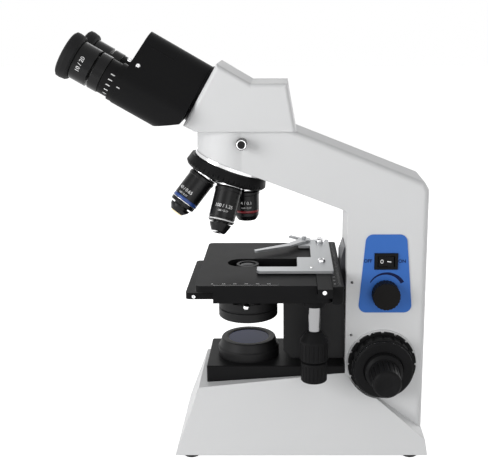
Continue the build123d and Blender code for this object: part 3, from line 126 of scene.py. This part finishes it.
casting = surface(
    "casting_paint", (0.755, 0.76, 0.765), 0.44, spread=0.012, blotch=9, grain=620, depth=0.012,
    edge=0.8, shine=0.22)
# The black finishes and the slide holder get paler edges: partly wear, partly a painted highlight.
black_paint = surface(
    "black_paint", (0.0105, 0.0105, 0.011), 0.42, spread=0.10, grain=900, depth=0.02, edge=0.5,
    edge_wear_and_highlight=0.15, edge_wear_and_highlight_colour=(0.04, 0.04, 0.042), shine=0.05)
stage_black = surface(
    "stage_black", (0.0105, 0.0105, 0.011), 0.46, spread=0.10, grain=1100, depth=0.015, edge=0.4,
    edge_wear_and_highlight=0.2, edge_wear_and_highlight_colour=(0.05, 0.05, 0.052), shine=0.035)
bracket_black = surface(
    "bracket_black", (0.0085, 0.0085, 0.009), 0.5, spread=0.12, grain=800, depth=0.03, edge=0.5,
    edge_wear_and_highlight=0.2, edge_wear_and_highlight_colour=(0.05, 0.05, 0.05), shine=0.18)
barrel_black = surface(
    "barrel_black", (0.0055, 0.0055, 0.006), 0.27, spread=0.10, grain=1200, depth=0.008, edge=0.3,
    edge_wear_and_highlight=0.2, edge_wear_and_highlight_colour=(0.08, 0.08, 0.085), shine=0.2)
plastic_black = surface(
    "plastic_black", (0.0095, 0.0095, 0.010), 0.44, spread=0.12, grain=1500, depth=0.014, edge=0.35,
    edge_wear_and_highlight=0.15, edge_wear_and_highlight_colour=(0.05, 0.05, 0.05), shine=0.06)
cap_grey = surface(
    "cap_grey", (0.0098, 0.0092, 0.009), 0.42, spread=0.15, grain=1500, depth=0.01, edge=0.3,
    shine=0.05)
rubber = surface(
    "rubber", (0.014, 0.014, 0.0145), 0.6, spread=0.12, grain=1600, depth=0.03, edge=0.6,
    speck=0.01, shine=0.12)
chrome = surface(
    "chrome", (0.78, 0.78, 0.79), 0.13, metal=1.0, spread=0.03, grain=1800, depth=0.002,
    rough_spread=0.05, edge=0.2)
sleeve_steel = surface(
    "sleeve_steel", (0.30, 0.30, 0.305), 0.2, metal=1.0, spread=0.05, grain=1500, depth=0.003,
    rough_spread=0.05, edge=0.2)
grey_plate = surface(
    "grey_plate", (0.40, 0.41, 0.42), 0.40, metal=0.75, spread=0.08, grain=1300, depth=0.008,
    edge=0.3, edge_wear_and_highlight=0.3, edge_wear_and_highlight_colour=(0.7, 0.7, 0.7))
dark_steel = surface(
    "dark_steel", (0.10, 0.10, 0.11), 0.38, metal=0.9, spread=0.1, grain=900, depth=0.006,
    stretch=(1, 1, 10), edge=0.25)
brass = surface(
    "brass", (0.72, 0.55, 0.26), 0.3, metal=1.0, spread=0.06, grain=900, depth=0.004, edge=0.2)
gold_tip = surface(
    "gold_tip", (0.80, 0.70, 0.48), 0.2, metal=1.0, spread=0.05, grain=1500, depth=0.002, edge=0.2)
board = surface(
    "board", (0.50, 0.51, 0.52), 0.4, metal=0.7, spread=0.06, grain=900, depth=0.01)
panel_blue = surface(
    "panel_blue", (0.041, 0.160, 0.54), 0.40, spread=0.03, grain=1500, depth=0.006, edge=0.3,
    shine=0.2)
panel_ink = surface(
    "panel_ink", (0.004, 0.009, 0.055), 0.45, spread=0.1, grain=1500, depth=0.004, shine=0.1)
white_ink = surface("white_ink", (0.80, 0.80, 0.80), 0.45, spread=0.05, grain=1500, depth=0.004)
pale_ink = surface("pale_ink", (0.42, 0.42, 0.42), 0.45, spread=0.08, grain=1500, depth=0.004)
blue_band = surface("blue_band", (0.012, 0.055, 0.26), 0.3, spread=0.08, grain=1500, depth=0.004)
red_band = surface("red_band", (0.25, 0.012, 0.02), 0.3, spread=0.08, grain=1500, depth=0.004)
yellow_band = surface("yellow_band", (0.75, 0.50, 0.03), 0.3, spread=0.05, grain=1500, depth=0.004)
filter_blue = surface(
    "filter_blue", (0.010, 0.019, 0.085), 0.15, spread=0.06, grain=300, depth=0.003,
    rough_spread=0.03, shine=0.03)
lens_dark = surface(
    "lens_dark", (0.016, 0.020, 0.030), 0.05, spread=0.1, grain=300, depth=0.001,
    rough_spread=0.02, coat=1.0, ior=1.7)
lens_shaded = surface(
    "lens_shaded", (0.004, 0.005, 0.007), 0.25, spread=0.1, grain=300, depth=0.001,
    rough_spread=0.03, shine=0.05)

finishes = {
    casting: ["base_casting", "arm_casting", "head_casting"],
    black_paint: ["wing_right", "wing_left", "hinge_flange", "condenser_carrier", "turret",
                  "illuminator_housing"],
    stage_black: ["stage_upper_plate", "stage_lower_plate", "x_rail", "x_slide_bar"],
    bracket_black: ["stage_bracket", "field_lens_ring", "bottom_plate", "condenser_body"],
    barrel_black: ["eyepiece_right", "eyepiece_left", "dioptre_ring_right", "dioptre_ring_left",
                   "objective_4", "objective_10", "objective_40", "objective_100",
                   "objective_40_tip", "objective_100_tip", "lock_screw"],
    plastic_black: ["coarse_knob_right", "coarse_knob_left", "fine_knob_right", "fine_knob_left",
                    "y_knob", "x_knob", "condenser_knob", "switch_body", "rocker", "tension_ring",
                    "dust_plug", "power_inlet"],
    cap_grey: ["dimmer_knob"],
    rubber: ["rubber_feet", "eyecup_right", "eyecup_left"],
    chrome: ["nosepiece_base", "iris_lever", "condenser_clamp"],
    sleeve_steel: ["drive_sleeve"],
    grey_plate: ["slide_holder", "slide_finger"],
    dark_steel: ["guide_rail", "focus_rack", "focus_shaft"],
    brass: ["focus_bushes"],
    panel_blue: ["control_panel"],
    filter_blue: ["field_filter"],
    lens_dark: ["eye_lens_right", "eye_lens_left"],
    lens_shaded: ["condenser_lens"],
    board: ["led_module"],
}
for material, names in finishes.items():
    for name in names:
        mesh = nodes[name].data
        mesh.materials.clear()
        mesh.materials.append(material)


# Frames that the object's pieces share, as in the solids; lengths in millimetres

nose_tilt, head_angle, side_lean = radians(21), radians(30), radians(1.55)
nose_circle, nose_depth, nose_places, shoulder = 22.0, 14.0, 5, 245.0
side_at_bench = 38.4
panel_y, panel_z = 128, 170
focus_y, focus_z = 126.2, 83.2
plate_top = 172.0
near_rail_top = 171.0


def axes(origin, x, z):
    """Matrix of a frame whose third axis is z; lengths in millimetres."""
    z = Vector(z).normalized()
    x = (Vector(x) - Vector(x).dot(z) * z).normalized()
    y = z.cross(x)
    m = Matrix((x, y, z)).transposed().to_4x4()
    m.translation = Vector(origin)
    return m


def sideways(x, y, z):
    """Frame of a piece that stands out to the user's right: its third axis is +X, its first +Y."""
    return axes((x, y, z), (0, 1, 0), (1, 0, 0))


def upright(x, y, z):
    """Frame of a piece that stands on a level face."""
    return Matrix.Translation((x, y, z))


def side_face(z):
    """Half width of the arm at the height z: its sides lean inwards."""
    return side_at_bench - tan(side_lean) * z


NOSE = axes(
    (0, nose_depth * sin(nose_tilt) - nose_circle * cos(nose_tilt),
     shoulder + nose_depth * cos(nose_tilt) + nose_circle * sin(nose_tilt)),
    (0, cos(nose_tilt), -sin(nose_tilt)), (0, -sin(nose_tilt), -cos(nose_tilt)))
EYE = axes((0, 0, 0), (1, 0, 0), (0, -cos(head_angle), sin(head_angle)))
PANEL = axes((side_face(panel_z), panel_y, panel_z), (0, 1, 0), (cos(side_lean), 0, sin(side_lean)))
FOCUS = sideways(0, focus_y, focus_z)
WORLD = Matrix.Identity(4)


def seat(place):
    """Frame of an objective: its third axis runs down the objective, the first faces +X as far as it can."""
    turn = 2 * pi * place / nose_places
    origin = NOSE @ Vector((nose_circle * cos(turn), nose_circle * sin(turn), nose_depth))
    along = NOSE.to_3x3() @ Vector((sin(nose_tilt) * cos(turn), sin(nose_tilt) * sin(turn), cos(nose_tilt)))
    return axes(origin, (1, 0, 0), along)


# Ways to make a piece

def made(name, points, faces, material, body, at, smooth=False):
    """A mesh piece from points in millimetres in the frame at, riding on a body."""
    mesh = bpy.data.meshes.new(name)
    mesh.from_pydata([tuple((at @ Vector(p)) * MM) for p in points], [], faces)
    mesh.update()
    if smooth:
        mesh.polygons.foreach_set("use_smooth", [True] * len(mesh.polygons))
    mesh.materials.append(material)
    piece = bpy.data.objects.new(name, mesh)
    bpy.context.scene.collection.objects.link(piece)
    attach(piece, body)
    return piece


def lathe(name, at, profile, material, body, steps=96):
    """Surface turned about the third axis of at; profile holds (radius, distance along the axis)."""
    points = []
    for i in range(steps):
        a = 2 * pi * i / steps
        points += [(r * cos(a), r * sin(a), s) for r, s in profile]
    n = len(profile)
    faces = []
    for i in range(steps):
        j = (i + 1) % steps
        faces += [(i * n + k, i * n + k + 1, j * n + k + 1, j * n + k) for k in range(n - 1)]
    return made(name, points, faces, material, body, at, smooth=True)


def hoop(radius, proud, start, stop, root=0.2, bevel=0.1):
    """Profile of a thin ring round a barrel: its feet are root deep in it, its face stands proud."""
    return [(radius - root, start), (radius + proud, start + bevel),
            (radius + proud, stop - bevel), (radius - root, stop)]


def joined(name, shapes, material, body, at):
    """Several small shapes as one piece; each shape is a (points, faces) pair."""
    points, faces = [], []
    for shape_points, shape_faces in shapes:
        base = len(points)
        points += shape_points
        faces += [tuple(i + base for i in face) for face in shape_faces]
    return made(name, points, faces, material, body, at)


def walls():
    """The four faces between the first and the last four points of a bar."""
    return [(i, (i + 1) % 4, (i + 1) % 4 + 4, i + 4) for i in range(4)]


def rectangle(x, y, dx, dy):
    """Corners of a rectangle centred on x, y."""
    return [(x - dx / 2, y - dy / 2), (x + dx / 2, y - dy / 2),
            (x + dx / 2, y + dy / 2), (x - dx / 2, y + dy / 2)]


def slab(x, y, z, dx, dy, dz):
    """A thin bar with its edges broken, centred on x, y and standing on z."""
    broken = 2 * min(dx, dy) * 0.2
    low = [(u, v, z) for u, v in rectangle(x, y, dx, dy)]
    high = [(u, v, z + dz) for u, v in rectangle(x, y, dx - broken, dy - broken)]
    return low + high, [(0, 3, 2, 1), (4, 5, 6, 7)] + walls()


def tick_on_drum(radius, angle, start, length, width, proud=0.04):
    """A mark along the axis on the outside of a drum; its foot is 0.15 deep in it."""
    outline = rectangle(angle, start + length / 2, width / radius, length)
    points = [(r * cos(a), r * sin(a), s) for r in (radius - 0.15, radius + proud) for a, s in outline]
    return points, [(4, 5, 6, 7), (0, 3, 2, 1)] + walls()


def lettering(name, text, size, material, body, at, place, weight=0.0):
    """Raised ink: place maps the flat text's x and y to a point in the frame at."""
    curve = bpy.data.curves.new(name, "FONT")
    curve.body = text
    curve.size = size
    curve.align_x = "CENTER"
    curve.align_y = "CENTER"
    curve.offset = weight
    curve.resolution_u = 4
    draft = bpy.data.objects.new(name + "_draft", curve)
    bpy.context.scene.collection.objects.link(draft)
    bpy.context.view_layer.update()
    flat = bpy.data.meshes.new_from_object(draft)
    bpy.data.objects.remove(draft)
    points = [place(v.co.x, v.co.y) for v in flat.vertices]
    faces = [tuple(p.vertices) for p in flat.polygons]
    return made(name, points, faces, material, body, at)


def level(right, up, proud):
    """Sets flat text right and up from the frame's origin, standing proud of its plane."""
    return lambda x, y: (x + right, y + up, proud)


def on_drum(radius, angle, start, up=-1):
    """Wraps text round a drum: letters read round it, with their tops towards -axis when up is -1."""
    def place(x, y):
        a = angle + up * x / radius
        return ((radius + 0.05) * cos(a), (radius + 0.05) * sin(a), start + up * y)
    return place


def screw(name, at, radius, height, body):
    """Small screw head with a hollow in it, standing on the frame's plane."""
    profile = [(radius * 0.98, -0.3), (radius, 0), (radius, height * 0.6), (radius * 0.8, height),
               (radius * 0.42, height), (radius * 0.36, height * 0.35), (0.001, height * 0.3)]
    lathe(name, at, profile, chrome, body, steps=32)


# Objectives: coloured bands, bright shoulder rings and plain numbers

# place in the nosepiece: (name, length, barrel radius, length of the front cone, band, words, their turn)
objectives = {
    0: ("4", 31.0, 12.0, 4.5, red_band, "4 / 0.1", 0.0),
    4: ("10", 37.5, 12.2, 7.0, yellow_band, "10 / 0.25", 0.0),
    2: ("40", 44.4, 12.7, 10.0, blue_band, "40 / 0.65", 0.5),
    1: ("100", 44.9, 12.4, 11.0, white_ink, "100 / 1.25", 0.05),
}
cone_gap = 3.2
band_width = {"4": 2.2, "10": 2.2, "40": 3.2}
for place, (number, length, radius, cone, band, words, turn) in objectives.items():
    at = seat(place)
    r = radius - 0.5
    end = length - cone - cone_gap
    lathe(f"shoulder_ring_{number}", at,
          [(r - 0.1, 0.1), (r + 0.02, 0.2), (r + 0.02, 2.3), (r - 0.2, 2.5)],
          chrome, "turret")
    if number == "100":
        ring = hoop(r, 0.14, end + 2.0, end + 3.2)
    else:
        ring = hoop(r, 0.05, end - band_width[number], end)
    lathe(f"band_{number}", at, ring, band, "turret")
    lettering(f"mark_{number}", words, 4.2, white_ink, "turret", at,
              on_drum(r + 0.02, turn, end - 9.4), weight=0.03)
    lettering(f"mark_{number}_low", "160 / 0.17", 2.4, white_ink, "turret", at,
              on_drum(r + 0.02, turn, end - 5.0), weight=0.02)
lathe("band_40_line", seat(2), hoop(12.2, 0.07, 31.3, 31.9, root=0.1, bevel=0.05), chrome,
      "turret")

# Bright rings round the front lenses of the sprung cones
for place, body, front, radius, metal in ((2, "tip_40", 44.4, 5.0, gold_tip),
                                          (1, "tip_100", 44.9, 5.4, chrome)):
    lathe(f"{body}_ring", seat(place),
          [(radius + 1.2, front - 1.15), (radius + 0.05, front + 0.04),
           (radius - 1.5, front + 0.04), (radius - 2.1, front - 0.6)],
          metal, body)

# Eyepieces: numbers on the barrels and a scale on each tube

eye_spacing, eye_rise = 27.0, 242
dioptre_step = 17.6
for side, x, out in (("right", eye_spacing, 0.0), ("left", -eye_spacing, pi)):
    tube = EYE.copy()
    tube.translation = EYE @ Vector((x, eye_rise, 0))
    body, wing = f"eyepiece_{side}", f"wing_{side}"
    lettering(f"eyepiece_mark_{side}", "10 / 20", 5.0, white_ink, body, tube,
              on_drum(17.2, out, 299.5, up=1), weight=0.05)
    marks = [tick_on_drum(16.2, out + radians(3.8 + dioptre_step * i), 269.2, 3.8, 0.9)
             for i in range(-3, 2)]
    joined(f"dioptre_scale_{side}", marks, white_ink, wing, tube)
    index = tick_on_drum(18.2, out - 0.06, 260.6, 2.9, 0.8)
    joined(f"dioptre_index_{side}", [index], white_ink, wing, tube)

# Control panel: words of the switch, its marks and the dimmer's rising arc

plate, print_height = 0.84, 0.05
ink = PANEL @ upright(0, 0, plate)
for name, text, right, up in (("label_off", "OFF", -16.6, 12.2), ("label_on", "ON", 14.6, 12.0)):
    lettering(name, text, 4.4, panel_ink, "stand", ink,
              level(right, up, print_height), weight=0.1)

arc_radius, arc_right, arc_up = 16.2, 0.2, -16.4
arc_start, arc_sweep, arc_steps = 150, 122, 40
arc_points = []
for i in range(arc_steps + 1):
    a = radians(arc_start - arc_sweep * i / arc_steps)
    thick = 0.9 + 2.6 * i / arc_steps
    for r in (arc_radius - thick * 0.2, arc_radius + thick * 0.8):
        arc_points.append((r * cos(a) + arc_right, r * sin(a) + arc_up, print_height))
arc_faces = [(2 * i, 2 * i + 1, 2 * i + 3, 2 * i + 2) for i in range(arc_steps)]
made("dimmer_arc", arc_points, arc_faces, panel_ink, "stand", ink)


def on_rocker(offset, slope, foot):
    """Places flat ink on the sloping half of the rocker."""
    return lambda x, y: (offset + x, y, foot + slope * (offset + x) + print_height)


def flat_shape(place, corners):
    """One face through four corners of flat ink."""
    return [place(x, y) for x, y in corners], [(0, 1, 2, 3)]


rocker_foot = 1.4
circle_place = on_rocker(-3.9, -1 / 7.1, rocker_foot)
dash_place = on_rocker(2.6, 3.2 / 6.15, rocker_foot)
circle_steps = 32
circle_outside, circle_inside = (1.5, 1.9), (0.85, 1.2)
shapes = []
for i in range(circle_steps):
    a0, a1 = 2 * pi * i / circle_steps, 2 * pi * (i + 1) / circle_steps
    corners = [(half_width * cos(a), half_height * sin(a))
               for (half_width, half_height), a in ((circle_outside, a0), (circle_outside, a1),
                                                    (circle_inside, a1), (circle_inside, a0))]
    shapes.append(flat_shape(circle_place, corners))
shapes.append(flat_shape(dash_place, rectangle(0, 0, 3.4, 0.9)))
joined("rocker_marks", shapes, white_ink, "rocker", PANEL @ upright(0, 12, -0.18))

# Scales of the stage: one mark a millimetre, a longer one every five and a number every ten

sunk = 0.02
x_start, x_marks = -70, 146
far_marks = []
for i in range(x_marks):
    middle, length = (83.6, 2.2) if i % 5 else (82.9, 3.6)
    far_marks.append(slab(x_start + i, middle, plate_top - sunk, 0.22, length, 0.03))
joined("x_scale", far_marks, pale_ink, "y_stage", WORLD)
for i in range(0, x_marks, 10):
    lettering(f"x_scale_{i}", str(i), 2.4, pale_ink, "y_stage",
              upright(x_start + i, 79.4, plate_top), level(0, 0, 0.012))

y_start, y_marks = -27, 58
near_marks = []
for i in range(y_marks):
    middle = 70.5 if i % 10 else 70.0
    length = 1.2 if i % 5 else (1.8 if i % 10 else 2.4)
    near_marks.append(slab(middle, y_start + i, near_rail_top - sunk, length, 0.2, 0.06))
near_marks.append(slab(71.5, 1.5, near_rail_top - sunk, 0.25, 57, 0.06))
joined("y_scale", near_marks, white_ink, "y_stage", WORLD)
for i in range(0, y_marks, 10):
    lettering(f"y_scale_{i}", str(i), 3.2, white_ink, "y_stage",
              upright(67.0, -28.5 + i, near_rail_top) @ Matrix.Rotation(radians(90), 4, "Z"),
              level(0, 0, 0.04), weight=0.02)

# Screws and the lock screw's bright rim

lock_z, holder_top = 290, 174.6
screw("bar_end_screw", sideways(87.0, 69.96, 168.9), 1.9, 0.15, "x_carriage")
lathe("lock_rim", sideways(side_face(lock_z) + 12.0, -2.2, lock_z),
      [(4.3, -0.5), (4.45, 0.03), (3.5, 0.05), (3.4, -0.3)], chrome, "lock_screw",
      steps=48)
screw("plate_screw", sideways(53.0, -46.5, 154.6), 1.8, 1.0, "carriage")
for name, x, y, radius, height in (("holder_screw_near", 9, 70, 3.6, 2.6),
                                   ("holder_screw_far", -61, 71, 4.6, 5.0),
                                   ("holder_pin_near", 30, 60, 1.5, 1.2)):
    screw(name, upright(x, y, holder_top), radius, height, "x_carriage")
wing_face = Vector((0.78, 0.313, 0.542))
for end, centre in (("front", (32.03, -97.86, 362.29)), ("rear", (32.45, -90.66, 357.52))):
    screw(f"wing_screw_{end}", axes(centre, (0, 1, 0), wing_face), 1.9, 0.5, "wing_right")

# Graduations of the focus knobs

coarse_radius, coarse_marks = 27.42, 100
for side, face in (("right", FOCUS), ("left", FOCUS @ Matrix.Rotation(pi, 4, "Y"))):
    marks = [tick_on_drum(coarse_radius, 2 * pi * i / coarse_marks, 51.0, 1.8 if i % 5 else 3.0,
                          0.3, proud=0.05) for i in range(coarse_marks)]
    joined(f"coarse_scale_{side}", marks, pale_ink, "coarse", face)
dots = [tick_on_drum(31.82, radians(a), 38.0, 1.2, 1.2) for a in (105, 195, 285)]
joined("tension_dots", dots, white_ink, "tension_ring", FOCUS)


# Floor, world, lamps and camera; lengths in metres

def calculated(tree, operation, first, second):
    """Output of a small sum in a node tree; second is a number or an output."""
    new = tree.nodes.new("ShaderNodeMath")
    new.operation = operation
    tree.links.new(first, new.inputs[0])
    if isinstance(second, bpy.types.NodeSocket):
        tree.links.new(second, new.inputs[1])
    else:
        new.inputs[1].default_value = second
    return new.outputs["Value"]


half_floor, floor_glow = 6, 0.86
floor_mesh = bpy.data.meshes.new("floor")
floor_mesh.from_pydata([(-half_floor, -half_floor, 0), (half_floor, -half_floor, 0),
                        (half_floor, half_floor, 0), (-half_floor, half_floor, 0)], [], [(0, 1, 2, 3)])
floor = bpy.data.objects.new("floor", floor_mesh)
bpy.context.scene.collection.objects.link(floor)
paper = bpy.data.materials.new("floor_paper")
paper.use_nodes = True
tree = paper.node_tree
shader = tree.nodes["Principled BSDF"]
shader.inputs["Base Color"].default_value = (0.86, 0.86, 0.86, 1)
shader.inputs["Roughness"].default_value = 0.9
shader.inputs["Specular IOR Level"].default_value = 0.1
shader.inputs["Emission Color"].default_value = (1, 1, 1, 1)
path = tree.nodes.new("ShaderNodeLightPath")
seen = calculated(tree, "MAXIMUM", path.outputs["Is Camera Ray"], path.outputs["Is Glossy Ray"])
glow = calculated(tree, "MULTIPLY", seen, floor_glow)
tree.links.new(glow, shader.inputs["Emission Strength"])
floor_mesh.materials.append(paper)

# The white surroundings shine fully into the camera and into reflections, and less on dull faces
world = bpy.data.worlds.new("studio")
bpy.context.scene.world = world
world.use_nodes = True
tree = world.node_tree
background = tree.nodes["Background"]
background.inputs["Color"].default_value = (1, 1, 1, 1)
path = tree.nodes.new("ShaderNodeLightPath")
direct = calculated(tree, "MAXIMUM", path.outputs["Is Camera Ray"], path.outputs["Is Transmission Ray"])
shown = calculated(tree, "MAXIMUM", direct, path.outputs["Is Glossy Ray"])
strength = tree.nodes.new("ShaderNodeMapRange")
strength.inputs["To Min"].default_value = 0.25
strength.inputs["To Max"].default_value = 1.0
tree.links.new(shown, strength.inputs["Value"])
tree.links.new(strength.outputs["Result"], background.inputs["Strength"])


def lamp(name, place, target, power, size):
    """A rectangular lamp of power watts at place, turned to target."""
    light = bpy.data.lights.new(name, "AREA")
    light.energy = power
    light.shape = "RECTANGLE"
    light.size, light.size_y = size
    holder = bpy.data.objects.new(name, light)
    holder.location = place
    holder.rotation_euler = (Vector(target) - Vector(place)).to_track_quat("-Z", "Y").to_euler()
    bpy.context.scene.collection.objects.link(holder)


lamp("key", (0.9, -1.2, 0.6), (0, 0, 0.2), 13.8, (0.9, 0.9))
lamp("fill", (1.35, 0.45, 0.45), (0, 0.05, 0.2), 4.6, (0.9, 0.9))
lamp("rim", (-1.2, -0.4, 0.7), (0, 0, 0.2), 2.0, (1.0, 0.6))
lamp("back_fill", (-0.9, 1.2, 0.45), (0, 0, 0.2), 7.0, (0.9, 0.9))

# Camera: angles in radians, place in millimetres, picture and focal length in pixels
pitch, yaw, roll = 0.2629840276, 0.0044712630, -0.0026001071
eye_point = Vector((790.317, 37.848, 400.720))
width, height = 488, 468
centre_x, centre_y = 283.593, 245.406
focal, sensor = 862.12, 36
back = Vector((cos(pitch) * cos(yaw), cos(pitch) * sin(yaw), sin(pitch)))
right = Vector((-sin(yaw), cos(yaw), 0))
above = back.cross(right)
right, above = right * cos(roll) + above * sin(roll), above * cos(roll) - right * sin(roll)
stance = Matrix((right, above, back)).transposed().to_4x4()
stance.translation = eye_point * MM
lens = bpy.data.cameras.new("camera")
camera = bpy.data.objects.new("camera", lens)
bpy.context.scene.collection.objects.link(camera)
camera.matrix_world = stance
lens.sensor_width = sensor
lens.lens = focal * sensor / width
lens.shift_x = (width / 2 - centre_x) / width
lens.shift_y = (centre_y - height / 2) / width
lens.clip_start, lens.clip_end = 0.02, 30
bpy.context.scene.camera = camera
bpy.context.scene.view_settings.view_transform = "Standard"
